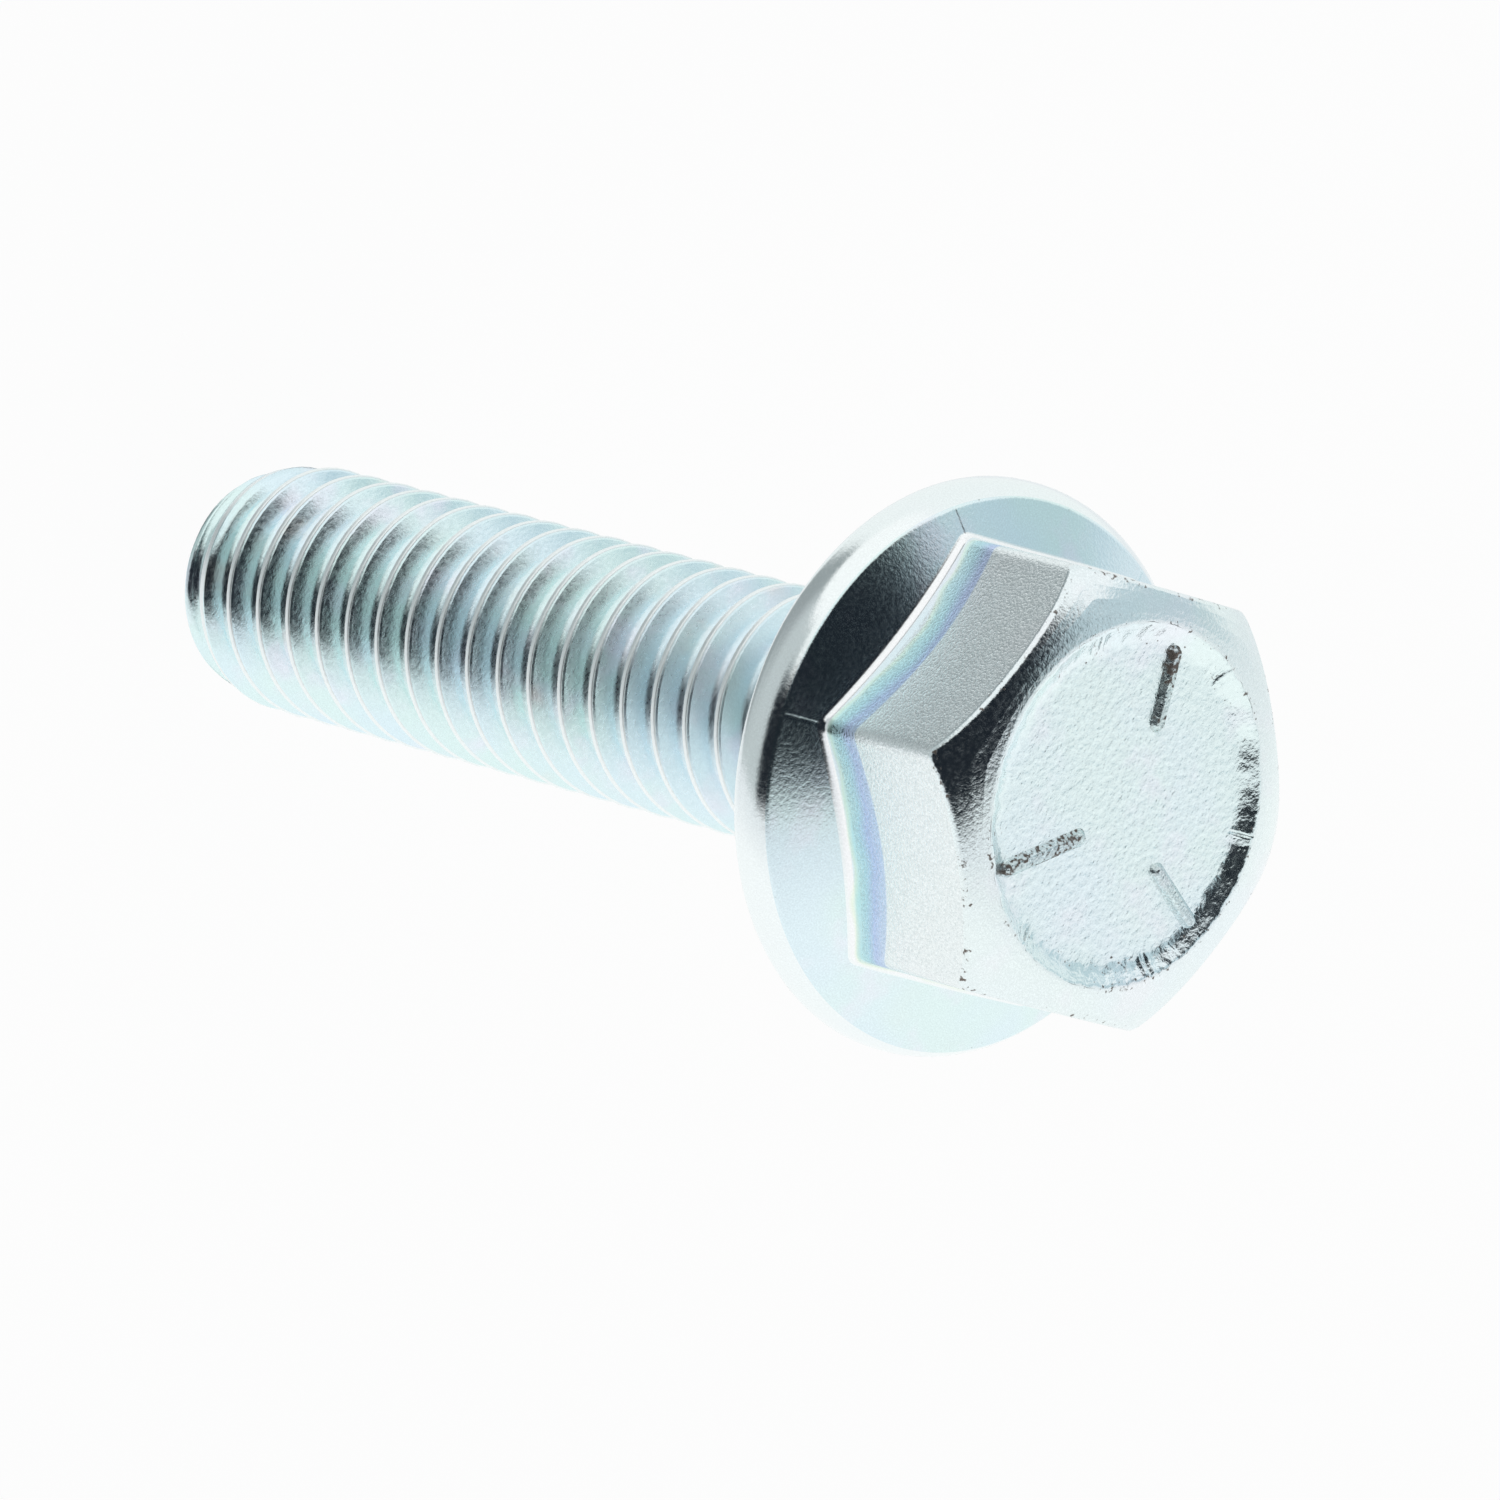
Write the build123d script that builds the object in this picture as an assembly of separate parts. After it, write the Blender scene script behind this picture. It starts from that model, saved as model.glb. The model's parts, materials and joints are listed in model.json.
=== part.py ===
from build123d import *
import math
import os

# Hex flange bolt, 5/16-18 UNC x 1-1/4 in, cold forged and thread rolled from one piece of steel.
# Millimetres. The bolt stands on its threaded end, +Z runs from that end to the head, and the
# origin is the centre of the bearing face under the flange, from which the length is measured.

# Thread
major_diameter = 7.8  # over the crests, inside the limits of class 2A
pitch = 25.4 / 18
length = 31.75  # from the bearing face to the threaded end
flank_angle = 30.0  # degrees, each flank from the plane across the axis
crest_width = pitch / 8
root_width = pitch / 4
end_taper_drop = 0.45  # the last turns are drawn in by this much
end_taper_length = 1.7
end_chamfer = 0.45  # then a 45 degree chamfer down to the end's face
start_angle = 270.0  # degrees from +X, where the first crest begins

# Neck between the thread and the head
neck_length = 1.5
runout_length = 1.0  # over which the thread fades into the neck
neck_fillet = 0.4

# Flange
flange_diameter = 17.27
rim_height = 0.6  # height of the rim's widest circle
rim_lower_round = 0.45
rim_crown_radius = 1.35  # the rim curves in above its widest circle
cone_slope = 22.0  # degrees, the flange's top falls away from the hexagon

# Hexagon
across_flats = 12.7
hex_base_height = 1.9  # where the hexagon's corners meet the flange's cone
head_height = 7.5
corner_round = 0.5
top_dome_start = 8.0  # degrees, how steeply the domed chamfer leaves the land
top_dome_radius = 3.0

# Top of the head
land_diameter = 10.9  # outer edge of the narrow flat land
recess_diameter = 10.65
recess_floor_diameter = 9.7
recess_depth = 0.28

# Sizes that follow
major_radius = major_diameter / 2
flank_run = (pitch - crest_width - root_width) / 2
root_radius = major_radius - flank_run / math.tan(math.radians(flank_angle))
neck_radius = (major_radius + root_radius) / 2
flange_radius = flange_diameter / 2
slope = math.tan(math.radians(cone_slope))


def helix(radius, z):
    """One right-hand turn of the thread's helix, starting at height z over +X."""
    return Edge.make_helix(pitch, pitch, radius, center=(0, 0, z)).edges()[0]


def thread_turn(z):
    """Crest, upper flank, root and next lower flank of one turn, as four ruled strips."""
    rails = [
        helix(major_radius, z),
        helix(major_radius, z + crest_width),
        helix(root_radius, z + crest_width + flank_run),
        helix(root_radius, z + pitch - flank_run),
        helix(major_radius, z + pitch),
    ]
    return [Face.make_surface_from_curves(a, b) for a, b in zip(rails, rails[1:])]


def thread_end(z):
    """The spiral floor from the axis to the crest, and the upright face across one pitch."""
    axis = Edge.make_line((0, 0, z), (0, 0, z + pitch))
    section = [
        (0, 0, z),
        (major_radius, 0, z),
        (major_radius, 0, z + crest_width),
        (root_radius, 0, z + crest_width + flank_run),
        (root_radius, 0, z + pitch - flank_run),
        (major_radius, 0, z + pitch),
        (0, 0, z + pitch),
    ]
    floor = Face.make_surface_from_curves(axis, helix(major_radius, z))
    return [floor, Face(Wire.make_polygon(section, close=True))]


def threaded_rod():
    """Sews the turns into one solid, a turn longer than the thread at each end."""
    first = -length - 1.5 * pitch
    turns = math.ceil((length + 2 * pitch) / pitch) + 1
    faces = thread_end(first) + thread_end(first + turns * pitch)
    for turn in range(turns):
        faces += thread_turn(first + turn * pitch)
    return Solid(Shell(faces)).rotate(Axis.Z, start_angle)


def turned(points):
    """Solid of revolution about Z from the half outline given as (radius, height) points."""
    with BuildPart() as body:
        with BuildSketch(Plane.XZ):
            with BuildLine():
                Polyline(*points, close=True)
            make_face()
        revolve(axis=Axis.Z)
    return body.part


def shank():
    """Thread cut to its chamfered end and faded out into the neck, which flares under the head."""
    runout = -neck_length - runout_length
    overrun = 1.0
    end_radius = major_radius - end_taper_drop
    taper_top = -length + end_chamfer + end_taper_length
    envelope = turned([
        (0, -length),
        (end_radius - end_chamfer, -length),
        (end_radius, -length + end_chamfer),
        (major_radius + overrun * end_taper_drop / end_taper_length, taper_top + overrun),
        (major_radius + overrun, runout),
        (major_radius, runout),
        (neck_radius, -neck_length),
        (0, -neck_length),
    ])
    with BuildPart() as neck:
        with BuildSketch(Plane.XZ):
            with BuildLine():
                Polyline((0, 0), (0, runout), (root_radius, runout), (neck_radius, -neck_length))
                side = Line((neck_radius, -neck_length), (neck_radius, -neck_fillet))
                flare = JernArc(side @ 1, side % 1, neck_fillet, -90)
                Line(flare @ 1, (0, 0))
            make_face()
        revolve(axis=Axis.Z)
    return (threaded_rod() & envelope) + neck.part


def flange():
    """Disc with a bulging rim, its top a cone that falls away from the hexagon's corners."""
    corner_radius = across_flats / math.sqrt(3)
    reach = flange_radius + rim_crown_radius
    outer_height = hex_base_height + (corner_radius - reach) * slope
    inner_height = hex_base_height + (corner_radius - neck_radius) * slope
    with BuildPart() as disc:
        with BuildSketch(Plane.XZ):
            with BuildLine():
                under = Line((0, 0), (flange_radius - rim_lower_round, 0))
                corner = JernArc(under @ 1, under % 1, rim_lower_round, 90)
                side = Line(corner @ 1, (flange_radius, rim_height))
                crown = JernArc(side @ 1, side % 1, rim_crown_radius, 60)
                Polyline(crown @ 1, ((crown @ 1).X, head_height), (0, head_height), (0, 0))
            make_face()
        revolve(axis=Axis.Z)
    cone = turned([
        (0, 0),
        (reach, 0),
        (reach, outer_height),
        (neck_radius, inner_height),
        (0, inner_height),
    ])
    return disc.part & cone


def hex_head():
    """Hexagon with rounded corners, its top drawn in by a domed chamfer that runs up to the land."""
    with BuildSketch() as outline:
        sides = RegularPolygon(across_flats / 2, 6, major_radius=False)
        fillet(sides.vertices(), corner_round)
    prism = extrude(outline.sketch, head_height)
    start = math.radians(top_dome_start)
    with BuildPart() as domed:
        with BuildSketch(Plane.XZ):
            with BuildLine():
                land = Line((0, head_height), (land_diameter / 2, head_height))
                leaving = (math.cos(start), -math.sin(start))
                dome = JernArc(land @ 1, leaving, top_dome_radius, top_dome_start - 90)
                Polyline(dome @ 1, ((dome @ 1).X, 0), (0, 0), (0, head_height))
            make_face()
        revolve(axis=Axis.Z)
    return prism & domed.part


def recess():
    """Shallow round recess inside the land, with a sloping wall."""
    slant = (recess_diameter - recess_floor_diameter) / 2
    return turned([
        (0, head_height - recess_depth),
        (recess_floor_diameter / 2, head_height - recess_depth),
        (recess_diameter / 2 + slant, head_height + recess_depth),
        (0, head_height + recess_depth),
    ])


flange_bolt = shank() + flange() + hex_head() - recess()
flange_bolt.label = "flange_bolt"

os.makedirs("parts", exist_ok=True)
export_step(flange_bolt, "parts/flange_bolt.step")
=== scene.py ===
import json
import math

import bmesh
import bpy
import numpy as np
from mathutils import Matrix, Vector


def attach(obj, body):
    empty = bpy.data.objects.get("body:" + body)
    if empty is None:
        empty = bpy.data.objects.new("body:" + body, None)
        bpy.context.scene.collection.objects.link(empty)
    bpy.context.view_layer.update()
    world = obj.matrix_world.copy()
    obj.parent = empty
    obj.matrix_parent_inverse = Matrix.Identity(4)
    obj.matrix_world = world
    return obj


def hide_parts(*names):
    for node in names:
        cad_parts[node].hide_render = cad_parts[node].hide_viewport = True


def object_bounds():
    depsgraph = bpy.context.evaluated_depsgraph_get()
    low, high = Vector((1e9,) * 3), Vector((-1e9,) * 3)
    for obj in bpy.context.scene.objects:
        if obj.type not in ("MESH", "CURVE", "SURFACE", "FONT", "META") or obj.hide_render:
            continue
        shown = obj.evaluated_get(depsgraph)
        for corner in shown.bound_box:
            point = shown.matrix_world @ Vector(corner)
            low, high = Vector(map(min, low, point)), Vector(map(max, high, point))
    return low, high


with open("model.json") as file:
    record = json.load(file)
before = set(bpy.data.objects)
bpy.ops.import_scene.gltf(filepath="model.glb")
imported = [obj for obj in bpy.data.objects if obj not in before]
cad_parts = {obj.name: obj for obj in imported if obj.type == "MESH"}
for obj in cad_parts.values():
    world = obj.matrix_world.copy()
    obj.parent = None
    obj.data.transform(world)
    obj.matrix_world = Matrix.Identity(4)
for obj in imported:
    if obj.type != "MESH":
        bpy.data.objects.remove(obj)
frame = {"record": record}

bl_info = {
    "name": "Flange bolt",
    "version": (1, 0, 0),
    "blender": (4, 5, 0),
    "location": "3D View > Sidebar > Flange bolt",
    "description": "Builds a zinc-plated hex flange bolt, its finish and its stage",
    "category": "Object",
}

MM = 0.001
CAD_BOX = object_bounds()
END_HEIGHT = CAD_BOX[0].z
HEAD_HEIGHT = CAD_BOX[1].z
FLANGE_DIAMETER = CAD_BOX[1].x - CAD_BOX[0].x
NODE = frame["record"]["subparts"][0]["node"]
SECTOR = math.pi / 3  # one side of the hexagon
CREST_SHARE = 1 / 8  # of the pitch, along the top of the thread
ROOT_SHARE = 1 / 4  # of the pitch, along the thread's foot before it is rounded
LIP_ROUND_SHARE = 0.9  # of the lip; a round longer than the step beside the crest would fold the surface
HEAD_COLUMNS = 192  # bearings round the head, of which the shank uses every second one
GATHER = 0.8  # how strongly the bearings are drawn towards the hexagon's corners, from 0 to 1
POLE_RADIUS = 0.02 * MM  # of the last ring before a surface closes on the axis
EDGE_REACH = 0.15 * MM  # how far wear spreads from a rounded edge
FLOOR_DROP = 0.02 * MM  # keeps the floor clear of the bolt's flat end
WELD_DISTANCE = 1e-4 * MM
SCORE_SEED = 7
SENSOR_WIDTH = 36.0
NO_FOOT = -1.0  # foot share of what is no flat
THREAD, CREST, RIM, FLANGE, FLAT, CHAMFER, RECESS, MARK = range(8)  # rows of FINISHES

# Bearing, skew (degrees), outer and inner radius (millimetres) and darkness of each raised mark on the head.
GRADE_MARKS = ((154.5, 8.5, 4.65, 1.85, 0.85), (23.5, -6.5, 4.65, 2.6, 0.85), (264.5, -2.0, 4.8, 2.7, 0.1))

# Name, roughness, its change, bump height (millimetres), fleck, tint, straw, (cells, fine grain, stretch),
# (speck scale, speck amount) and the roughness that is added along the shank towards the head.
FINISHES = (
    ("zinc_thread", 0.15, 0.1, 0.006, 0.05, 1.0, 0.5, (6000.0, 16000.0, 2.5), (6000.0, 0.1), 0.16),
    ("zinc_crest", 0.38, 0.1, 0.004, 0.03, 0.0, 0.1, (8000.0, 20000.0, 1.0), (6000.0, 0.1), 0.0),
    ("zinc_rim", 0.12, 0.08, 0.003, 0.05, 0.1, 0.1, (8000.0, 20000.0, 1.0), (6000.0, 0.2), 0.0),
    ("zinc_flange", 0.14, 0.06, 0.005, 0.08, 0.85, 0.05, (9000.0, 22000.0, 1.0), (6000.0, 0.3), 0.0),
    ("zinc_flat", 0.10, 0.34, 0.020, 0.10, 0.15, 0.05, (12000.0, 18000.0, 1.0), (6000.0, 0.3), 0.0),
    ("zinc_chamfer", 0.12, 0.10, 0.009, 0.10, 0.35, 0.2, (8000.0, 18000.0, 1.0), (6000.0, 0.45), 0.0),
    ("zinc_recess", 0.18, 0.08, 0.030, 0.05, 0.6, 0.1, (4600.0, 11000.0, 1.0), (6000.0, 0.4), 0.0),
    ("zinc_mark", 0.25, 0.15, 0.030, 0.3, 0.8, 0.1, (7000.0, 14000.0, 1.0), (7000.0, 0.85), 0.0),
)

# Colours of the flange's reflection, painted in bands at the flats' feet, by their place from its upper edge (0) to
# the foot itself (1).
FLANGE_REFLECTION_COLOURS = (
    (0.0, (0.68, 0.80, 0.97, 1)), (0.3, (0.62, 0.72, 0.97, 1)), (0.55, (0.62, 0.86, 0.93, 1)),
    (0.75, (0.70, 0.93, 0.93, 1)), (0.87, (0.88, 0.98, 0.86, 1)), (0.94, (0.97, 0.99, 1.0, 1)),
)
SPECK_COLOUR = (0.2, 0.175, 0.16, 1)

# Where the light tent's colours change, as values from -1 to 1 of height, beside (towards the head) and facing
# (towards the opening). Each change runs smoothly from the first value to the second.
THREAD_SIDE = (-0.64, -0.46)
THREAD_SIDE_FRONT = (-0.6, 0.0)
HEAD_SIDE = (0.3, 0.8)
HEAD_SIDE_BACK = (-0.5, -0.3)
HEAD_SIDE_TOP = (0.38, 0.54)
WALL_TOP = (0.86, 0.92)
OPENING_EDGE = (0.36, 0.56)
OPENING_TOP = (0.6, 0.78)
LOWER_CLOTH = (-0.45, -0.1)
HORIZON = (-0.1, 0.03)


def length(name, description, default):
    """A length property in metres."""
    return bpy.props.FloatProperty(
        name=name, description=description, default=default, unit="LENGTH", precision=5, min=0.0
    )


def angle(name, description, degrees):
    """An angle property, its default given in degrees."""
    return bpy.props.FloatProperty(
        name=name, description=description, default=math.radians(degrees), unit="ROTATION"
    )


def amount(name, description, default, high=1.0):
    """A plain factor from zero up."""
    return bpy.props.FloatProperty(
        name=name, description=description, default=default, min=0.0, max=high, subtype="FACTOR"
    )


def colour(name, description, default):
    """A scene-linear colour."""
    return bpy.props.FloatVectorProperty(
        name=name, description=description, default=default, size=3, min=0.0, max=1.0, subtype="COLOR"
    )


# ---------------------------------------------------------------- settings


class BoltShape(bpy.types.PropertyGroup):
    """Sizes of the bolt's surface."""

    major_diameter: length("Major diameter", "Over the thread's crests", 7.8 * MM)
    pitch: length("Pitch", "Height of one turn of the thread", 25.4 * MM / 18)
    flank_angle: angle("Flank angle", "Each flank from the plane across the axis", 30)
    start_angle: angle("Start angle", "Where the first crest begins, from +X", 270)
    crest_round: length("Crest round", "Of each crest's edge on the side of the bolt's end", 0.075 * MM)
    lip: length("Lip", "Depth of the small step beside each crest, on the head's side", 0.05 * MM)
    root_round: length("Root round", "How far up the flanks the round root reaches from their meeting", 0.58 * MM)
    end_taper_drop: length("End taper drop", "The last turns are drawn in by this much", 0.45 * MM)
    end_taper_length: length("End taper length", "Height of the last turns' taper", 1.7 * MM)
    end_chamfer: length("End chamfer", "45 degree chamfer at the end's face", 0.45 * MM)
    end_round: length("End round", "Round between the end's chamfer and its face", 0.08 * MM)
    neck_length: length("Neck length", "Plain neck under the head", 1.5 * MM)
    runout_length: length("Run-out length", "Over which the thread fades into the neck", 1.0 * MM)
    neck_fillet: length("Neck fillet", "Between the neck and the bearing face", 0.4 * MM)
    rim_height: length("Rim height", "Height of the rim's widest circle", 0.6 * MM)
    rim_lower_round: length("Rim lower round", "Lower edge of the rim", 0.45 * MM)
    rim_crown_radius: length("Rim crown radius", "The rim curves in above its widest circle", 1.35 * MM)
    rim_upper_round: length("Rim upper round", "Between the rim and the cone", 0.06 * MM)
    rim_offset: length("Rim offset", "How far the trimmed rim lies off the axis", 0.21 * MM)
    rim_offset_bearing: angle("Rim offset bearing", "From +X", 169)
    cone_slope: angle("Cone slope", "The flange's top falls away from the hexagon", 22)
    seam_depth: length("Seam depth", "Fine grooves out from the hexagon's corners", 0.014 * MM)
    across_flats: length("Across flats", "Width of the hexagon", 12.7 * MM)
    hex_base_height: length("Hexagon base height", "Where its corners meet the cone", 1.9 * MM)
    corner_round: length("Corner round", "Radius of the hexagon's corners", 0.5 * MM)
    base_fillet: length("Base fillet", "Between the flats and the cone", 0.2 * MM)
    # The crescents are the flange's reflection, painted into the flats' colour.
    foot_height: length("Foot height", "Height of the tinted crescents at the flats' feet", 1.6 * MM)
    dome_start: angle("Dome start", "How steeply the domed chamfer leaves the land", 8)
    dome_radius: length("Dome radius", "Of the domed chamfer's section", 3.0 * MM)
    chamfer_edge_round: length("Chamfer edge round", "Between the flats and the chamfer", 0.13 * MM)
    land_diameter: length("Land diameter", "Outer edge of the narrow land on top", 10.9 * MM)
    land_round: length("Land round", "Both edges of the land", 0.05 * MM)
    recess_diameter: length("Recess diameter", "Inner edge of the land", 10.65 * MM)
    recess_floor_diameter: length("Recess floor diameter", "Foot of the recess wall", 9.7 * MM)
    recess_depth: length("Recess depth", "Below the land", 0.28 * MM)
    recess_round: length("Recess round", "Between the recess wall and its floor", 0.22 * MM)
    wall_scores: length("Wall scores", "How deep the recess wall is scored down its slope", 0.13 * MM)
    mark_width: length("Mark width", "Of the raised grade marks at their foot", 0.56 * MM)
    mark_height: length("Mark height", "Of the raised grade marks", 0.2 * MM)


class StudioSettings(bpy.types.PropertyGroup):
    """Camera, floor and light."""

    aim: bpy.props.FloatVectorProperty(
        name="Aim", description="Point the camera looks at",
        default=(-0.000206, -0.002198, -0.010276), size=3, subtype="TRANSLATION", precision=6
    )
    distance: length("Distance", "From the aim to the camera", 379.37 * MM)
    azimuth: angle("Azimuth", "Camera's bearing from +X", 119.79)
    elevation: angle("Elevation", "Camera above the floor", 46.32)
    roll: angle("Roll", "Camera turned about its own line of sight", 105.0)
    focal_length: bpy.props.FloatProperty(
        name="Focal length", description="Of the lens, on a 36 mm wide sensor",
        default=302.95, min=1.0, unit="CAMERA"
    )
    floor_colour: colour("Floor colour", "Pale floor", (0.9, 0.9, 0.9))
    tent_bearing: angle("Tent bearing", "Where the light tent's top points, from +X", 57.9)
    tent_height: angle("Tent height", "How high the light tent's top points", 8.5)
    cloth: colour("Cloth", "The tent's top and lower cloth", (1.0, 1.0, 1.0))
    cool_side: colour("Cool side", "The tent's side beyond the head", (0.56, 0.66, 0.7))
    grey_side: colour("Grey side", "The tent's side beyond the thread", (0.33, 0.36, 0.37))
    front_grey: colour("Front grey", "The same side, towards the opening", (0.54, 0.58, 0.59))
    back_cloth: colour("Back cloth", "The tent's pale back", (0.92, 0.94, 0.94))
    floor_edge: colour("Floor edge", "The tent's lower cloth, towards the walls", (0.84, 0.86, 0.88))
    opening_turn: angle("Opening turn", "How far the dark opening is turned towards the cool side", 10)
    opening: colour("Opening", "The tent's dark opening", (0.012, 0.016, 0.022))


# ---------------------------------------------------------------- surfaces


def mesh_object(name, points, faces, finish, shares, materials):
    """A mesh object at the origin from its points, its faces, each face's finish and named shares for each point."""
    mesh = bpy.data.meshes.new(name)
    mesh.from_pydata(points.tolist(), [], faces)
    mesh.polygons.foreach_set("material_index", finish.astype(np.int32))
    mesh.polygons.foreach_set("use_smooth", np.ones(len(mesh.polygons), bool))
    for label, values in shares.items():
        mesh.attributes.new(label, "FLOAT", "POINT").data.foreach_set("value", values.astype(np.float32))
    work = bmesh.new()
    work.from_mesh(mesh)
    bmesh.ops.remove_doubles(work, verts=work.verts, dist=WELD_DISTANCE)
    bmesh.ops.recalc_face_normals(work, faces=work.faces)
    work.to_mesh(mesh)
    work.free()
    for material in materials:
        mesh.materials.append(material)
    mesh.update()
    piece = bpy.data.objects.new(name, mesh)
    bpy.context.scene.collection.objects.link(piece)
    return piece


def grid_quads(first, rows, columns):
    """Faces of a grid whose rows close on themselves, as vertex numbers from first on."""
    row = np.arange(rows - 1)[:, None]
    column = np.arange(columns)[None, :]
    after = (column + 1) % columns
    low = first + row * columns
    high = low + columns
    return np.stack([low + column, low + after, high + after, high + column], -1).reshape(-1, 4)


def run_shares(rows):
    """Shares of a straight run, with a row close to each end so that the shading stays flat between."""
    close = 0.04
    inner = np.linspace(0.0, 1.0, rows)[1:-1]
    return np.concatenate([[close], inner, [1.0 - close]]) if rows > 2 else inner


def carried_profile(stations, columns):
    """Rows of a profile that changes round the axis.

    A station is (radius, height, cut, arc rows, run rows, finish), where finish is one for the arc and the run or a
    pair. The profile runs straight from corner to corner, and at each corner an arc takes over at the distance cut on
    both sides. The arc is a rational quadratic curve whose middle weight is the cosine of half the turn, which makes
    it a true circle's arc. Radius and height may be one value or one for each column. Also returns each row's finish,
    and whether it lies on an arc.
    """
    corners = np.array([[np.broadcast_to(s[0], columns), np.broadcast_to(s[1], columns)] for s in stations])
    runs = np.diff(corners, axis=0)
    lengths = np.maximum(np.hypot(runs[:, 0], runs[:, 1]), 1e-9)
    ways = runs / lengths[:, None, :]
    rows = []
    finishes = []
    rounded = []
    for k, (_, _, cut, arc_rows, run_rows, finish) in enumerate(stations):
        first = k == 0
        last = k == len(stations) - 1
        if first or last or cut == 0.0:
            rows.append(corners[k][None])
            leave = corners[k]
        else:
            enter = corners[k] - cut * ways[k - 1]
            leave = corners[k] + cut * ways[k]
            turn = np.clip((ways[k - 1] * ways[k]).sum(0), -1.0, 1.0)
            weight = np.sqrt((1.0 + turn) / 2.0)[None, None, :]
            share = np.linspace(0.0, 1.0, arc_rows)[:, None, None]
            a = (1.0 - share) ** 2
            b = 2.0 * share * (1.0 - share) * weight
            c = share**2
            rows.append((a * enter + b * corners[k] + c * leave) / (a + b + c))
        on_arc, on_run = np.broadcast_to(finish, 2)
        finishes += [on_arc] * len(rows[-1])
        rounded += [cut > 0.0] * len(rows[-1])
        if not last:
            next_cut = stations[k + 1][2] if k + 2 < len(stations) else 0.0
            goal = corners[k + 1] - next_cut * ways[k]
            share = run_shares(run_rows)[:, None, None]
            rows.append(leave * (1.0 - share) + goal * share)
            finishes += [on_run] * len(rows[-1])
            rounded += [False] * len(rows[-1])
    stacked = np.concatenate(rows)
    return stacked[:, 0], stacked[:, 1], np.array(finishes), np.array(rounded)


def corner_angle(bearing):
    """Angle from each bearing to the nearest corner of the hexagon."""
    return np.abs((bearing + SECTOR / 2) % SECTOR - SECTOR / 2)


def hexagon_radius(bearing, across, rounding):
    """Distance from the axis to the hexagon's side at each bearing: half the width over the cosine from the nearest
    flat's middle, and near a corner the far side of a small circle that touches both flats."""
    from_corner = corner_angle(bearing)
    from_flat = SECTOR / 2 - from_corner
    flat = across / 2 / np.cos(from_flat)
    centre = (across / 2 - rounding) / math.cos(SECTOR / 2)
    touch = math.atan2(rounding * math.sin(SECTOR / 2), centre + rounding * math.cos(SECTOR / 2))
    inside = np.maximum(rounding**2 - (centre * np.sin(from_corner)) ** 2, 0.0)
    rounded = centre * np.cos(from_corner) + np.sqrt(inside)
    return np.where(from_corner < touch, rounded, flat)


def flat_foot(shape, bearing):
    """The hexagon's distance from the axis at each bearing, and the height at which it meets the cone."""
    corner = shape.across_flats / math.sqrt(3)
    hexagon = hexagon_radius(bearing, shape.across_flats, shape.corner_round)
    return hexagon, shape.hex_base_height + (corner - hexagon) * math.tan(shape.cone_slope)


def bearings(columns):
    """Bearings round the axis, drawn together near the hexagon's corners, with one on each corner."""
    even = np.linspace(0.0, 2 * math.pi, columns, endpoint=False)
    return even - GATHER / 6 * np.sin(6 * even)


def head_stations(shape, bearing):
    """The head's profile from the foot of the neck's fillet to the middle of the recess, for each bearing.

    The rim is a quarter round, a short wall and a crown arc, on a circle whose centre lies a little off the axis. The
    arc ends where it meets the cone, found from the arc's circle and the cone's line. The chamfer is an arc that
    leaves the land at a small angle and steepens until it meets the hexagon.
    """
    slope = math.tan(shape.cone_slope)
    flange = FLANGE_DIAMETER / 2 + shape.rim_offset * np.cos(bearing - shape.rim_offset_bearing)
    neck = neck_radius(shape)
    corner = shape.across_flats / math.sqrt(3)

    crown_centre = flange - shape.rim_crown_radius
    rise = shape.hex_base_height + corner * slope - shape.rim_height
    a = 1.0 + slope**2
    b = -2.0 * (crown_centre + slope * rise)
    c = crown_centre**2 + rise**2 - shape.rim_crown_radius**2
    meet = (-b + np.sqrt(b**2 - 4 * a * c)) / (2 * a)
    on_corner = 1e-6
    seam = np.where(corner_angle(bearing) < on_corner, shape.seam_depth, 0.0)
    meet_height = shape.hex_base_height + (corner - meet) * slope
    sweep = np.arctan2(meet_height - shape.rim_height, meet - crown_centre)

    hexagon, foot = flat_foot(shape, bearing)
    land = shape.land_diameter / 2
    start = math.sin(shape.dome_start)
    steepest = np.arcsin(start + (hexagon - land) / shape.dome_radius)
    floor = HEAD_HEIGHT - shape.recess_depth
    scores = np.random.default_rng(SCORE_SEED).uniform(-1.0, 1.0, len(bearing)) * shape.wall_scores

    stations = [
        (neck, -shape.neck_fillet, 0.0, 1, 0, FLANGE),
        (neck, 0.0, 0.99 * shape.neck_fillet, 7, 3, RIM),
        (flange, 0.0, shape.rim_lower_round, 9, 7, RIM),
        (flange, shape.rim_height, 0.0, 1, 3, RIM),
    ]
    crown_part = 0.86  # of the crown's arc, which leaves room for the round where it meets the cone
    for share in np.linspace(0.0, crown_part, 9)[1:]:
        arc = share * sweep
        stations.append(
            (crown_centre + shape.rim_crown_radius * np.cos(arc),
             shape.rim_height + shape.rim_crown_radius * np.sin(arc), 0.0, 1, 0, RIM)
        )
    stations += [
        (meet, meet_height - seam, shape.rim_upper_round, 6, 8, FLANGE),
        (hexagon, foot - seam, shape.base_fillet, 8, 12, (RIM, FLAT)),
    ]
    for share in (1.0, 0.7, 0.45, 0.2):
        steep = math.asin(start) + share * (steepest - math.asin(start))
        cut, arc_rows = (shape.chamfer_edge_round, 6) if share == 1.0 else (0.0, 1)
        stations.append(
            (land + shape.dome_radius * (np.sin(steep) - start),
             HEAD_HEIGHT - shape.dome_radius * (math.cos(shape.dome_start) - np.cos(steep)),
             cut, arc_rows, 3, CHAMFER)
        )
    stations += [
        (land, HEAD_HEIGHT, shape.land_round, 4, 0, CHAMFER),
        (shape.recess_diameter / 2 + scores / 3, HEAD_HEIGHT, shape.land_round, 4, 4, RECESS),
        (shape.recess_floor_diameter / 2 + scores, floor, shape.recess_round, 6, 3, RECESS),
        (POLE_RADIUS, floor, 0.0, 1, 24, RECESS),
    ]
    return stations


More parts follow.
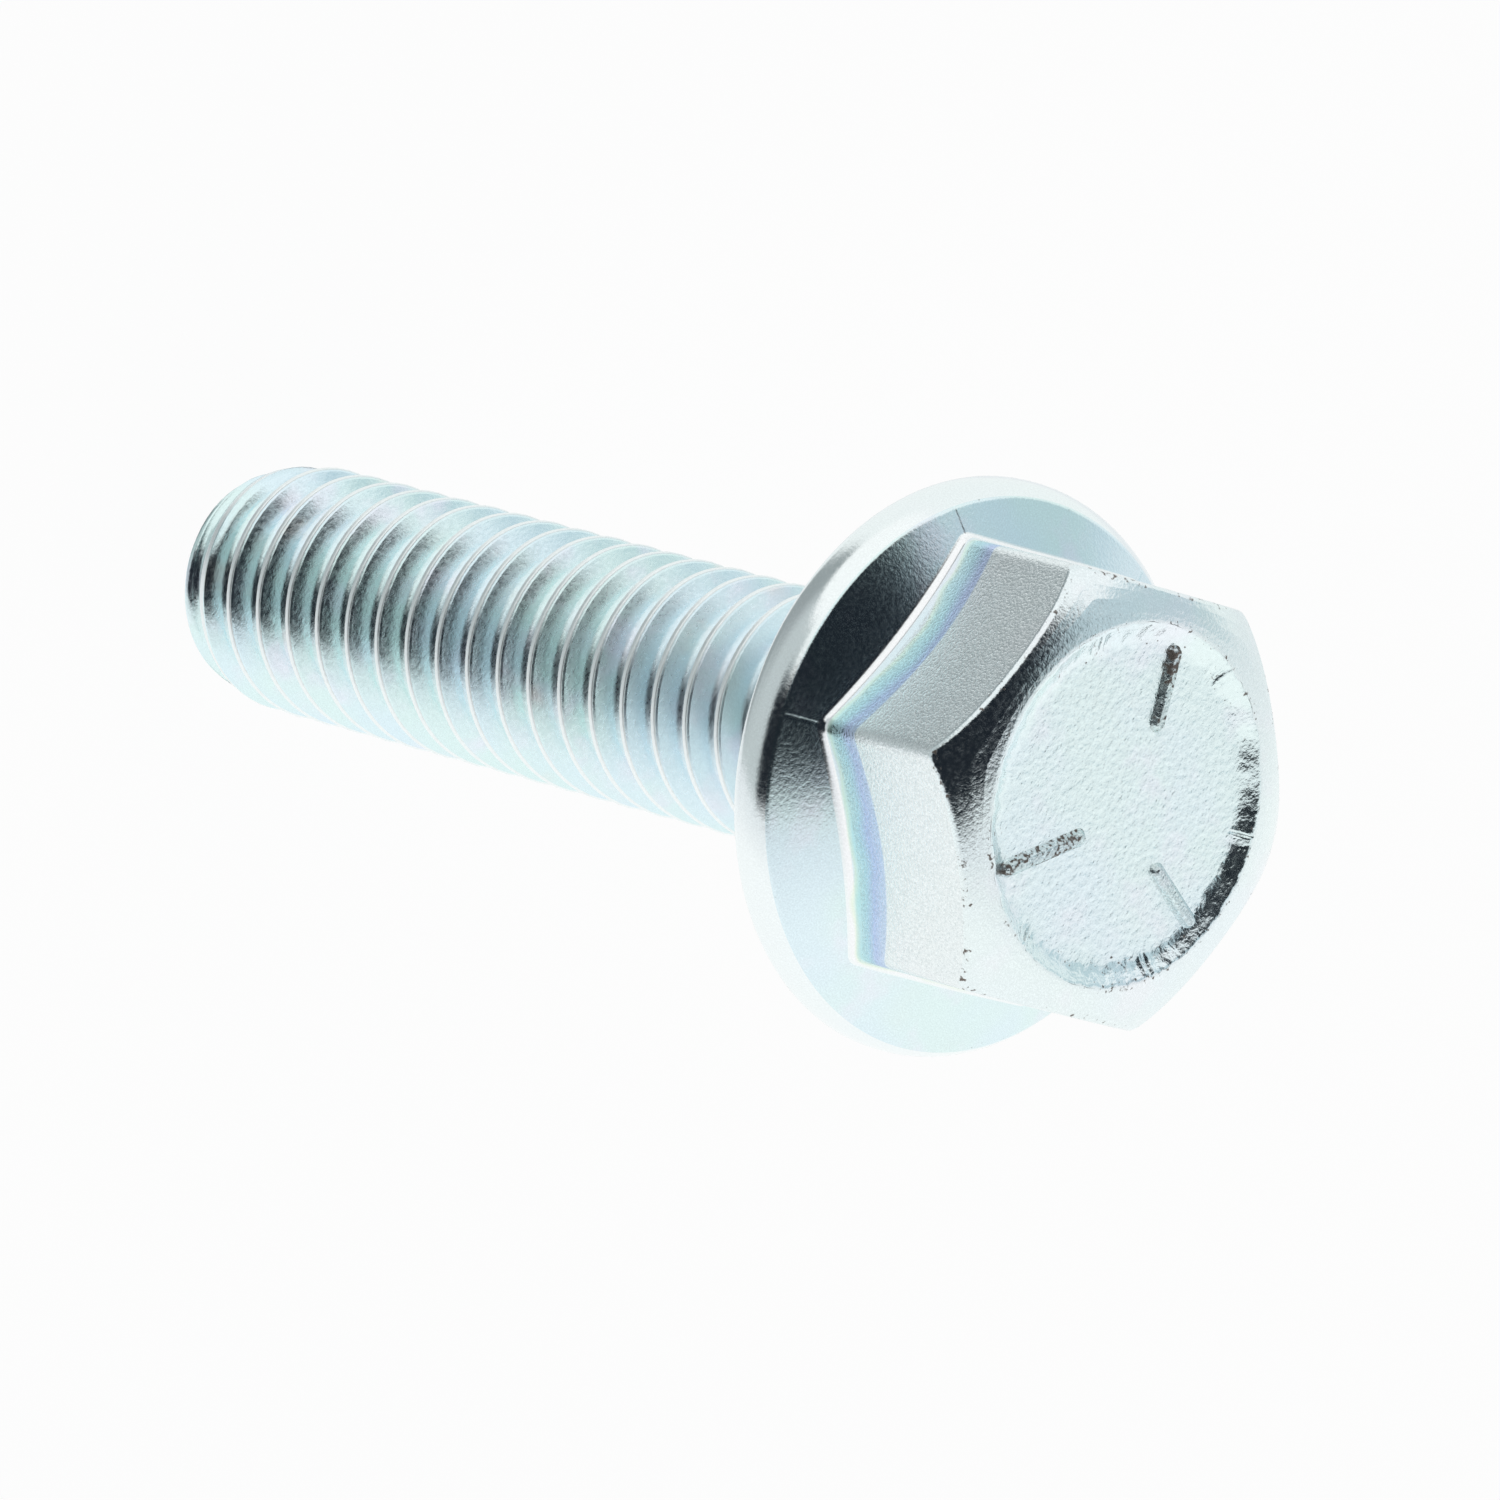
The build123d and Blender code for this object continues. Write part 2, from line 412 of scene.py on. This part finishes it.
def edge_closeness(radius, height, rounded, reach):
    """One on a rounded edge and fading to nothing away from it: a bell curve of the distance along the profile to the
    nearest row on an arc."""
    steps = np.hypot(np.diff(radius, axis=0), np.diff(height, axis=0))
    along = np.concatenate([np.zeros((1, radius.shape[1])), np.cumsum(steps, axis=0)])
    arcs = along[rounded]
    nearest = np.abs(along[:, None, :] - arcs[None, :, :]).min(1)
    return np.exp(-((nearest / reach) ** 2))


def foot_share(shape, height, bearing):
    """How near the foot of a flat: one on it, more below it, and falling evenly to nothing along a curve over it. It
    bounds the flange's reflection that is painted at the flats' feet.
    """
    sag = 0.15  # of the curve's height, by which it is lower at the corners
    _, foot = flat_foot(shape, bearing)
    from_middle = np.abs(bearing % SECTOR - SECTOR / 2) / (SECTOR / 2)
    reach = shape.foot_height * (1.0 - sag * from_middle**2)
    return np.clip(1.0 - (height - foot) / reach, -1.0, 2.0)


def root_radius(shape):
    """Radius at the bottom of the thread."""
    run = shape.pitch * (1.0 - CREST_SHARE - ROOT_SHARE) / 2
    return shape.major_diameter / 2 - run / math.tan(shape.flank_angle)


def neck_radius(shape):
    """Radius of the plain neck, half way between crest and root."""
    return (shape.major_diameter / 2 + root_radius(shape)) / 2


def smaller(a, b, blend):
    """The smaller of two values with a rounded change between them over the width blend."""
    share = np.clip(0.5 + (b - a) / (2 * blend), 0.0, 1.0)
    return b + (a - b) * share - blend * share * (1 - share)


def thread_rows(shape, bearing):
    """Radius and height of the shank's rows, which climb one pitch in a turn.

    Row and bearing give the way along the helix: height = row height + pitch * bearing / full turn. The thread's
    section is crest, a small step, flank, round root and flank. Heights past either end are held there, where
    the rows fall together and are welded. At the end a cone draws the last turns in and a chamfer follows, and at the
    neck the thread is cut by one cone and filled by another.
    """
    pitch = shape.pitch
    crest = pitch * CREST_SHARE
    top = shape.major_diameter / 2
    root = root_radius(shape)
    point = top - (pitch - crest) / 2 / math.tan(shape.flank_angle)
    stations = [
        (top, crest / 2, 0.0, 1, 0, CREST),
        (top, crest, LIP_ROUND_SHARE * shape.lip, 5, 0, CREST),
        (top - shape.lip, crest + 0.3 * shape.lip, 0.0, 1, 0, THREAD),
        (top - 1.5 * shape.lip, crest + 1.3 * shape.lip, 0.0, 1, 3, THREAD),
        (point, (pitch + crest) / 2, shape.root_round, 11, 4, THREAD),
        (top, pitch, shape.crest_round, 5, 0, CREST),
        (top, pitch + crest / 2, 0.0, 1, 0, CREST),
    ]
    radius, height, finish, _ = carried_profile(stations, 1)
    radius = radius[:-1, 0]
    height = height[:-1, 0]
    finish = finish[:-1]
    per_turn = len(radius)
    low = END_HEIGHT + shape.end_round
    high = -shape.neck_fillet
    first = END_HEIGHT - (2.5 + shape.start_angle / (2 * math.pi)) * pitch
    turns = math.ceil((high - first) / pitch) + 1
    radius = np.tile(radius, turns)
    height = first + np.tile(height, turns) + pitch * np.repeat(np.arange(turns), per_turn)
    ends = np.append(bearing, 2 * math.pi)
    height = height[:, None] + pitch * ends[None, :] / (2 * math.pi)
    height = np.clip(height, low, high)
    radius = np.broadcast_to(radius[:, None], height.shape)
    above = height - END_HEIGHT
    drawn_in = top - shape.end_taper_drop
    taper = drawn_in + (above - shape.end_chamfer) * shape.end_taper_drop / shape.end_taper_length
    chamfer = drawn_in - shape.end_chamfer + above
    chamfer_blend, crest_blend = 0.08 * MM, 0.04 * MM
    radius = smaller(radius, smaller(taper, chamfer, chamfer_blend), crest_blend)
    neck = neck_radius(shape)
    fade = np.clip((-shape.neck_length - height) / shape.runout_length, 0.0, 1.0)
    radius = np.minimum(radius, neck + (top - neck) * fade)
    radius = np.maximum(radius, np.where(fade < 1.0, neck + (root - neck) * fade, 0.0))
    return radius, height, np.tile(finish, turns)


def helical_quads(first, rows, columns):
    """Faces of the helical grid: the last column of a row meets the first column one turn further up."""
    row = np.arange(rows - 1)[:, None]
    column = np.arange(columns - 1)[None, :]
    low = first + row * columns
    high = low + columns
    return np.stack([low + column, low + column + 1, high + column + 1, high + column], -1).reshape(-1, 4)


def turned(radius, bearing, height):
    """Points from radius, bearing and height."""
    return np.stack([radius * np.cos(bearing), radius * np.sin(bearing), height], -1)


def bolt_surface(shape):
    """Points, faces, finishes and shares of the whole bolt: shank, end, head and the ring that joins them."""
    head_bearing = bearings(HEAD_COLUMNS)
    shank_bearing = head_bearing[::2]
    shank_columns = len(shank_bearing)

    radius, height, head_finish, rounded = carried_profile(head_stations(shape, head_bearing), HEAD_COLUMNS)
    head = turned(radius, head_bearing, height)
    foot = foot_share(shape, height, head_bearing)
    head_edge = edge_closeness(radius, height, rounded, EDGE_REACH)

    radius, height, thread_finish = thread_rows(shape, shank_bearing)
    shank = turned(radius, np.append(shank_bearing, 2 * math.pi), height)

    tip = shape.major_diameter / 2 - shape.end_taper_drop - shape.end_chamfer
    stations = [
        (tip + shape.end_round, END_HEIGHT + shape.end_round, 0.0, 1, 0, THREAD),
        (tip, END_HEIGHT, 0.9 * shape.end_round, 4, 0, THREAD),
        (POLE_RADIUS, END_HEIGHT, 0.0, 1, 8, THREAD),
    ]
    radius, height, _, _ = carried_profile(stations, shank_columns)
    end = turned(radius, shank_bearing, height)

    ring = turned(neck_radius(shape), shank_bearing, np.full(shank_columns, -shape.neck_fillet))[None]
    poles = np.array([[0.0, 0.0, HEAD_HEIGHT - shape.recess_depth], [0.0, 0.0, END_HEIGHT]])

    blocks = [head, shank, end, ring, poles]
    starts = np.cumsum([0] + [block.reshape(-1, 3).shape[0] for block in blocks])
    points = np.concatenate([block.reshape(-1, 3) for block in blocks])
    edge = np.zeros(len(points))
    edge[: starts[1]] = head_edge.ravel()
    # Share of the flats' feet, where the flange's reflection is painted.
    tinted = np.full(len(points), NO_FOOT)
    tinted[: starts[1]] = foot.ravel()

    head_quads = grid_quads(starts[0], len(head), HEAD_COLUMNS)
    shank_quads = helical_quads(starts[1], len(shank), shank_columns + 1)
    end_quads = grid_quads(starts[2], len(end), shank_columns)

    wide = np.arange(HEAD_COLUMNS)
    narrow = np.arange(shank_columns)
    last_head = starts[0] + (len(head) - 1) * HEAD_COLUMNS
    last_end = starts[2] + (len(end) - 1) * shank_columns
    near = starts[3] + narrow
    near_after = starts[3] + (narrow + 1) % shank_columns
    far = starts[0] + 2 * narrow
    far_middle = far + 1
    far_after = starts[0] + (2 * narrow + 2) % HEAD_COLUMNS
    floor_pole = np.full(HEAD_COLUMNS, starts[4])
    end_pole = np.full(shank_columns, starts[4] + 1)
    floor_fan = np.stack([last_head + wide, last_head + (wide + 1) % HEAD_COLUMNS, floor_pole], -1)
    end_fan = np.stack([last_end + narrow, last_end + (narrow + 1) % shank_columns, end_pole], -1)
    joints = np.concatenate([
        np.stack([near, far, far_middle], -1),
        np.stack([near, far_middle, near_after], -1),
        np.stack([near_after, far_middle, far_after], -1),
    ])
    groups = [
        (head_quads, np.repeat(head_finish[:-1], HEAD_COLUMNS)),
        (shank_quads, np.repeat(thread_finish[:-1], shank_columns)),
        (end_quads, THREAD),
        (floor_fan, RECESS),
        (end_fan, THREAD),
        (joints, RIM),
    ]
    faces = sum([group.tolist() for group, _ in groups], [])
    finish = np.concatenate([np.broadcast_to(number, len(group)) for group, number in groups])
    return points, faces, finish, {"edge": edge, "foot": tinted}


def raised_bar(start, end, width, height, base):
    """A low rounded bar lying on the height base, from start to end.

    Its rings are the outlines of a straight line widened by an offset: two straight sides and two half circles. From
    ring to ring the offset shrinks and the height climbs along a rounded ramp, and a flat face below closes it.
    """
    columns, sunk = 48, 0.04 * MM
    around = np.linspace(0.0, 2 * math.pi, columns, endpoint=False) + math.pi / columns
    heading = math.atan2(end[1] - start[1], end[0] - start[0])
    far_half = (np.cos(around) > 0.0)[:, None]
    spine = np.where(far_half, np.array(end), np.array(start))
    out = np.stack([np.cos(around + heading), np.sin(around + heading)], -1)
    ramp = np.linspace(0.0, 1.0, 14)
    offsets = np.concatenate([[0.0, width / 2], width / 2 * (1.0 - ramp)])
    lift = np.sin(np.clip(ramp * 1.5, 0.0, 1.0) * math.pi / 2) ** 1.5
    heights = np.concatenate([[-sunk, -sunk], height * lift])
    flat = spine[None] + offsets[:, None, None] * out[None]
    rings = np.concatenate([flat, np.broadcast_to(base + heights[:, None, None], (*flat.shape[:2], 1))], -1)
    return rings.reshape(-1, 3), grid_quads(0, len(rings), len(around))


def level_way(degrees):
    """Unit vector across the axis, at a bearing in degrees from +X."""
    bearing = math.radians(degrees)
    return np.array([math.cos(bearing), math.sin(bearing)])


def grade_marks(shape):
    """Three raised marks a third of a turn apart on the recess floor, each slightly off its radius, as struck."""
    base = HEAD_HEIGHT - shape.recess_depth
    points = []
    faces = []
    speck_darkness = []
    for bearing, skew, outer, inner, dark in GRADE_MARKS:
        start = outer * MM * level_way(bearing)
        end = inner * MM * level_way(bearing + skew)
        bar, quads = raised_bar(start, end, shape.mark_width, shape.mark_height, base)
        faces += (quads + len(points) * len(bar)).tolist()
        points.append(bar)
        # Darker specks over the whole mark, by its darkness: the first two dark, the third nearly clean.
        speck_darkness.append(np.full(len(bar), dark))
    points = np.concatenate(points)
    return points, faces, {"edge": np.concatenate(speck_darkness), "foot": np.full(len(points), NO_FOOT)}


# ---------------------------------------------------------------- finish


def put(tree, kind, inputs=None, **settings):
    """Adds a node; an input given as a socket is linked, and any other is set."""
    made = tree.nodes.new("ShaderNode" + kind)
    for name, value in settings.items():
        setattr(made, name, value)
    for socket, value in (inputs or {}).items():
        if isinstance(value, bpy.types.NodeSocket):
            tree.links.new(value, made.inputs[socket])
        else:
            made.inputs[socket].default_value = value
    return made


def mixed(tree, share, first, second):
    """Colour between two colours by a share."""
    return put(tree, "Mix", {0: share, 6: first, 7: second}, data_type="RGBA").outputs[2]


def maths(tree, operation, *values):
    """Result of a sum on values or sockets."""
    return put(tree, "Math", dict(enumerate(values)), operation=operation).outputs[0]


def ranged(tree, value, low, high):
    """Smooth step of a value from low to high."""
    return put(
        tree, "MapRange", {"Value": value, "From Min": low, "From Max": high}, interpolation_type="SMOOTHSTEP"
    ).outputs[0]


def effect_group(name, inputs, outputs):
    """An empty shader node group with its sockets, and its two end nodes."""
    group = bpy.data.node_groups.new(name, "ShaderNodeTree")
    for label, value in inputs:
        group.interface.new_socket(label, in_out="INPUT", socket_type="NodeSocketFloat").default_value = value
    for label, kind in outputs:
        group.interface.new_socket(label, in_out="OUTPUT", socket_type="NodeSocket" + kind)
    return group, group.nodes.new("NodeGroupInput"), group.nodes.new("NodeGroupOutput")


def tint_and_reflection_group():
    """Colour of the clear passivate, which drifts between sky, mint, lavender and straw in soft patches. At the flats'
    feet, told by the attribute foot, bands of colour are painted instead, which stand in for the flange's reflection."""
    group, given, result = effect_group("passivate_and_painted_reflection", [("Tint", 1.0), ("Straw", 0.2)], [("Colour", "Color")])
    where = put(group, "TexCoord").outputs["Object"]

    def patches(scale, detail, slice_at):
        inputs = {"Vector": where, "Scale": scale, "Detail": detail, "W": slice_at}
        return put(group, "TexNoise", inputs, noise_dimensions="4D").outputs[0]

    broad = put(group, "TexNoise", {"Vector": where, "Scale": 230.0, "Detail": 2.0}).outputs[0]
    cool = mixed(group, ranged(group, broad, 0.38, 0.62), (0.78, 0.96, 0.95, 1), (0.78, 0.94, 1.0, 1))
    tinted = mixed(group, ranged(group, patches(520.0, 3.0, 3.0), 0.5, 0.72), cool, (0.86, 0.92, 1.0, 1))
    straw = maths(group, "MULTIPLY", ranged(group, patches(310.0, 3.0, 8.0), 0.58, 0.72), given.outputs["Straw"])
    tinted = mixed(group, straw, tinted, (0.86, 0.76, 0.66, 1))
    plain = mixed(group, given.outputs["Tint"], (0.95, 1.0, 1.0, 1), tinted)

    # Painted reflection of the flange: bands of colour at the flats' feet, their edge wandering with the broad
    # patches.
    wander, soft = 1.1, 0.06
    foot = put(group, "Attribute", attribute_name="foot").outputs["Fac"]
    order = maths(group, "MULTIPLY_ADD", maths(group, "SUBTRACT", broad, 0.5), wander, foot)
    tint_and_painted_reflection = put(group, "ValToRGB", {"Fac": order})
    ramp = tint_and_painted_reflection.color_ramp
    for element, (place, shade) in zip(ramp.elements, (FLANGE_REFLECTION_COLOURS[0], FLANGE_REFLECTION_COLOURS[-1])):
        element.position, element.color = place, shade
    for place, shade in FLANGE_REFLECTION_COLOURS[1:-1]:
        ramp.elements.new(place).color = shade
    below = maths(group, "SUBTRACT", 1.0, ranged(group, foot, 1.0, 1.0 + soft))
    on_foot = maths(group, "MULTIPLY", ranged(group, foot, 0.0, soft), below)
    group.links.new(mixed(group, on_foot, plain, tint_and_painted_reflection.outputs[0]), result.inputs["Colour"])
    return group


def grain_group():
    """Height, roughness and flecks of the plated surface: cells like orange peel and a finer grain. A stretch over
    one squeezes them along the axis, which draws them out round it."""
    group, given, result = effect_group(
        "plated_grain", [("Cells", 4500.0), ("Fine", 12000.0), ("Stretch", 1.0)],
        [("Height", "Float"), ("Rough", "Float"), ("Fleck", "Float")]
    )
    where = put(group, "TexCoord").outputs["Object"]
    drawn = put(group, "CombineXYZ", {0: 1.0, 1: 1.0, 2: given.outputs["Stretch"]}).outputs[0]
    place = put(group, "VectorMath", {0: where, 1: drawn}, operation="MULTIPLY").outputs[0]
    cells = put(group, "TexNoise", {"Vector": place, "Scale": given.outputs["Cells"], "Detail": 2.0}).outputs[0]
    fine = put(group, "TexNoise", {"Vector": place, "Scale": given.outputs["Fine"], "Detail": 2.0}).outputs[0]
    fine_part = 0.35
    height = maths(group, "ADD", cells, maths(group, "MULTIPLY", fine, fine_part))
    group.links.new(height, result.inputs["Height"])
    group.links.new(ranged(group, cells, 0.3, 0.7), result.inputs["Rough"])
    group.links.new(ranged(group, fine, 0.4, 0.7), result.inputs["Fleck"])
    return group


def speck_group():
    """Mask of small dark specks, which crowd where the attribute edge is high: along worn edges, and over the darker
    grade marks.
    """
    group, given, result = effect_group("edge_specks", [("Scale", 2600.0), ("Amount", 0.5)], [("Mask", "Float")])
    where = put(group, "TexCoord").outputs["Object"]
    edge = put(group, "Attribute", attribute_name="edge").outputs["Fac"]
    dots = put(group, "TexNoise", {"Vector": where, "Scale": given.outputs["Scale"], "Detail": 4.0}).outputs[0]
    crowd = put(group, "TexNoise", {"Vector": where, "Scale": 480.0, "Detail": 2.0}).outputs[0]
    weight = maths(group, "MULTIPLY", maths(group, "MULTIPLY", edge, given.outputs["Amount"]), crowd)
    speck_start, speck_full = 0.84, 0.96
    mask = ranged(group, maths(group, "ADD", dots, weight), speck_start, speck_full)
    group.links.new(mask, result.inputs["Mask"])
    return group


def shared(tree, name, make, **inputs):
    """A shared group placed in a material with its own values, and made the first time that it is asked for."""
    group = bpy.data.node_groups.get(name) or make()
    return put(tree, "Group", inputs, node_tree=group).outputs


def plated(name, rough, rough_change, bump, fleck, tint, straw, grain, specks, dull):
    """Bright zinc: a metal whose colour, roughness, grain and specks come from the shared groups; the colour holds the
    flange's painted reflection at the flats' feet. The roughness dull is added along the shank, from nothing at its
    end to all of it under the head."""
    material = bpy.data.materials.new(name)
    material.use_nodes = True
    tree = material.node_tree
    shader = tree.nodes["Principled BSDF"]
    shader.inputs["Metallic"].default_value = 1.0
    tint_and_painted_reflection = shared(tree, "passivate_and_painted_reflection", tint_and_reflection_group, Tint=tint, Straw=straw)
    grains = shared(tree, "plated_grain", grain_group, Cells=grain[0], Fine=grain[1], Stretch=grain[2])
    dirt = shared(tree, "edge_specks", speck_group, Scale=specks[0], Amount=specks[1])["Mask"]

    shade = put(tree, "MapRange", {"Value": grains["Fleck"], "To Min": 1.0 - fleck, "To Max": 1.0}).outputs[0]
    flecked = put(tree, "VectorMath", {0: tint_and_painted_reflection["Colour"], "Scale": shade}, operation="SCALE").outputs[0]
    tree.links.new(mixed(tree, dirt, flecked, SPECK_COLOUR), shader.inputs["Base Color"])

    dirt_roughness = 0.3
    varied = put(
        tree, "MapRange", {"Value": grains["Rough"], "To Min": rough, "To Max": rough + rough_change}
    ).outputs[0]
    dirty = maths(tree, "MULTIPLY_ADD", dirt, dirt_roughness, varied)
    place = put(tree, "TexCoord").outputs["Object"]
    along = put(tree, "SeparateXYZ", {0: place}).outputs["Z"]
    duller = put(
        tree, "MapRange", {"Value": along, "From Min": END_HEIGHT, "From Max": 0.0, "To Min": 0.0, "To Max": dull}
    ).outputs[0]
    tree.links.new(maths(tree, "ADD", dirty, duller), shader.inputs["Roughness"])

    raised = put(tree, "Bump", {"Height": grains["Height"], "Distance": bump * MM, "Strength": 1.0})
    tree.links.new(raised.outputs[0], shader.inputs["Normal"])
    return material


def finish_material(number):
    """The material of a finish, made the first time that it is asked for."""
    name, *values = FINISHES[number]
    return bpy.data.materials.get(name) or plated(name, *values)


# ---------------------------------------------------------------- stage


def from_angles(bearing, height):
    """Unit vector at a bearing from +X and a height above the floor."""
    flat = math.cos(height)
    return Vector((flat * math.cos(bearing), flat * math.sin(bearing), math.sin(height)))


def place_camera(studio):
    """Camera on its bearing and height, rolled about its line of sight."""
    back = from_angles(studio.azimuth, studio.elevation)
    data = bpy.data.cameras.new("camera")
    data.lens = studio.focal_length
    data.sensor_width = SENSOR_WIDTH
    data.clip_start = 0.01
    data.clip_end = 20.0
    camera = bpy.data.objects.new("camera", data)
    turn = back.to_track_quat("Z", "Y").to_matrix().to_4x4()
    place = Matrix.Translation(Vector(studio.aim) + studio.distance * back)
    camera.matrix_world = place @ turn @ Matrix.Rotation(studio.roll, 4, "Z")
    bpy.context.scene.collection.objects.link(camera)
    bpy.context.scene.camera = camera


def lay_floor(studio):
    """A wide pale floor under the bolt that shows nearly white and keeps a faint shadow."""
    half, glow_share = 3.0, 0.95
    mesh = bpy.data.meshes.new("floor")
    corners = [(-half, -half), (half, -half), (half, half), (-half, half)]
    mesh.from_pydata([(x, y, END_HEIGHT - FLOOR_DROP) for x, y in corners], [], [(0, 1, 2, 3)])
    floor = bpy.data.objects.new("floor", mesh)
    material = bpy.data.materials.new("floor")
    material.use_nodes = True
    tree = material.node_tree
    shader = tree.nodes["Principled BSDF"]
    shader.inputs["Base Color"].default_value = (*studio.floor_colour, 1)
    shader.inputs["Roughness"].default_value = 0.9
    glow = put(tree, "Emission", {"Color": (1, 1, 1, 1)})
    seen = maths(tree, "MULTIPLY", put(tree, "LightPath").outputs["Is Camera Ray"], glow_share)
    mix = put(tree, "MixShader", {0: seen, 1: shader.outputs[0], 2: glow.outputs[0]})
    tree.links.new(mix.outputs[0], tree.nodes["Material Output"].inputs["Surface"])
    mesh.materials.append(material)
    floor.visible_glossy = False
    bpy.context.scene.collection.objects.link(floor)


def light_world(studio):
    """A white light tent that leans over the bolt, with cloth above and below, greyer sides and a dark opening.

    How high a direction lies in the tent is its dot product with the way the tent's top points. Round the tent it is
    told by the dot product with the way of the opening, over the direction's level part.
    """
    up = from_angles(studio.tent_bearing, studio.tent_height)
    towards = from_angles(studio.azimuth, studio.elevation)
    opening_way = (towards - towards.dot(up) * up).normalized()
    side_way = up.cross(opening_way)

    world = bpy.data.worlds.new("studio")
    bpy.context.scene.world = world
    world.use_nodes = True
    tree = world.node_tree
    way = put(tree, "TexCoord").outputs["Generated"]

    def along(axis):
        return put(tree, "VectorMath", {0: way, 1: axis}, operation="DOT_PRODUCT").outputs["Value"]

    def solid(shade):
        return (*shade, 1)

    height = along(up)
    just_over_one = 1.0001  # keeps the root above zero straight up and down
    level = maths(tree, "SQRT", maths(tree, "SUBTRACT", just_over_one, maths(tree, "MULTIPLY", height, height)))
    facing = maths(tree, "DIVIDE", along(opening_way), level)
    beside = maths(tree, "DIVIDE", along(side_way), level)
    turned_facing = maths(tree, "MULTIPLY_ADD", beside, math.tan(studio.opening_turn), facing)

    cloth = solid(studio.cloth)
    front = ranged(tree, facing, *THREAD_SIDE_FRONT)
    grey = mixed(tree, front, solid(studio.grey_side), solid(studio.front_grey))
    left = mixed(tree, ranged(tree, beside, *THREAD_SIDE), grey, solid(studio.back_cloth))
    cool = maths(tree, "MULTIPLY", ranged(tree, beside, *HEAD_SIDE), ranged(tree, facing, *HEAD_SIDE_BACK))
    right = mixed(tree, ranged(tree, height, *HEAD_SIDE_TOP), solid(studio.cool_side), cloth)
    walls = mixed(tree, ranged(tree, height, *WALL_TOP), mixed(tree, cool, left, right), cloth)
    below_top = maths(tree, "SUBTRACT", 1.0, ranged(tree, height, *OPENING_TOP))
    dark = maths(tree, "MULTIPLY", ranged(tree, turned_facing, *OPENING_EDGE), below_top)
    topped = mixed(tree, dark, walls, solid(studio.opening))
    near_floor = mixed(tree, ranged(tree, height, *LOWER_CLOTH), cloth, solid(studio.floor_edge))
    whole = mixed(tree, ranged(tree, height, *HORIZON), near_floor, topped)
    seen = mixed(tree, put(tree, "LightPath").outputs["Is Camera Ray"], whole, solid((1, 1, 1)))
    tree.links.new(seen, tree.nodes["Background"].inputs["Color"])


# ---------------------------------------------------------------- operators


class FLANGEBOLT_OT_body(bpy.types.Operator):
    """Builds the bolt's surface over its CAD solid"""

    bl_idname = "flange_bolt.body"
    bl_label = "Forge and thread the bolt"

    def execute(self, context):
        points, faces, finish, shares = bolt_surface(context.scene.bolt_shape)
        materials = [finish_material(number) for number in range(MARK)]
        bolt = mesh_object("bolt", points, faces, finish, shares, materials)
        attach(bolt, "root")
        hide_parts(NODE)
        return {"FINISHED"}


class FLANGEBOLT_OT_marks(bpy.types.Operator):
    """Raises the three grade marks on the head"""

    bl_idname = "flange_bolt.marks"
    bl_label = "Strike the grade marks"

    def execute(self, context):
        points, faces, shares = grade_marks(context.scene.bolt_shape)
        finish = np.zeros(len(faces), int)
        marks = mesh_object("grade_marks", points, faces, finish, shares, [finish_material(MARK)])
        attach(marks, "root")
        return {"FINISHED"}


class FLANGEBOLT_OT_stage(bpy.types.Operator):
    """Sets the floor, the light and the camera"""

    bl_idname = "flange_bolt.stage"
    bl_label = "Set the stage"

    def execute(self, context):
        studio = context.scene.studio_settings
        lay_floor(studio)
        light_world(studio)
        place_camera(studio)
        context.scene.view_settings.view_transform = "Standard"
        return {"FINISHED"}


class FLANGEBOLT_PT_panel(bpy.types.Panel):
    """Lists the bolt's steps in the sidebar"""

    bl_idname = "FLANGEBOLT_PT_panel"
    bl_label = "Flange bolt"
    bl_space_type = "VIEW_3D"
    bl_region_type = "UI"
    bl_category = "Flange bolt"

    def draw(self, context):
        for step in STEPS:
            self.layout.operator(step.bl_idname)


STEPS = (FLANGEBOLT_OT_body, FLANGEBOLT_OT_marks, FLANGEBOLT_OT_stage)
CLASSES = (BoltShape, StudioSettings, *STEPS, FLANGEBOLT_PT_panel)


def register():
    for made in CLASSES:
        bpy.utils.register_class(made)
    bpy.types.Scene.bolt_shape = bpy.props.PointerProperty(type=BoltShape)
    bpy.types.Scene.studio_settings = bpy.props.PointerProperty(type=StudioSettings)


def unregister():
    del bpy.types.Scene.studio_settings
    del bpy.types.Scene.bolt_shape
    for made in reversed(CLASSES):
        bpy.utils.unregister_class(made)


def main():
    register()
    bpy.ops.flange_bolt.body()
    bpy.ops.flange_bolt.marks()
    bpy.ops.flange_bolt.stage()


if __name__ == "__main__":
    main()
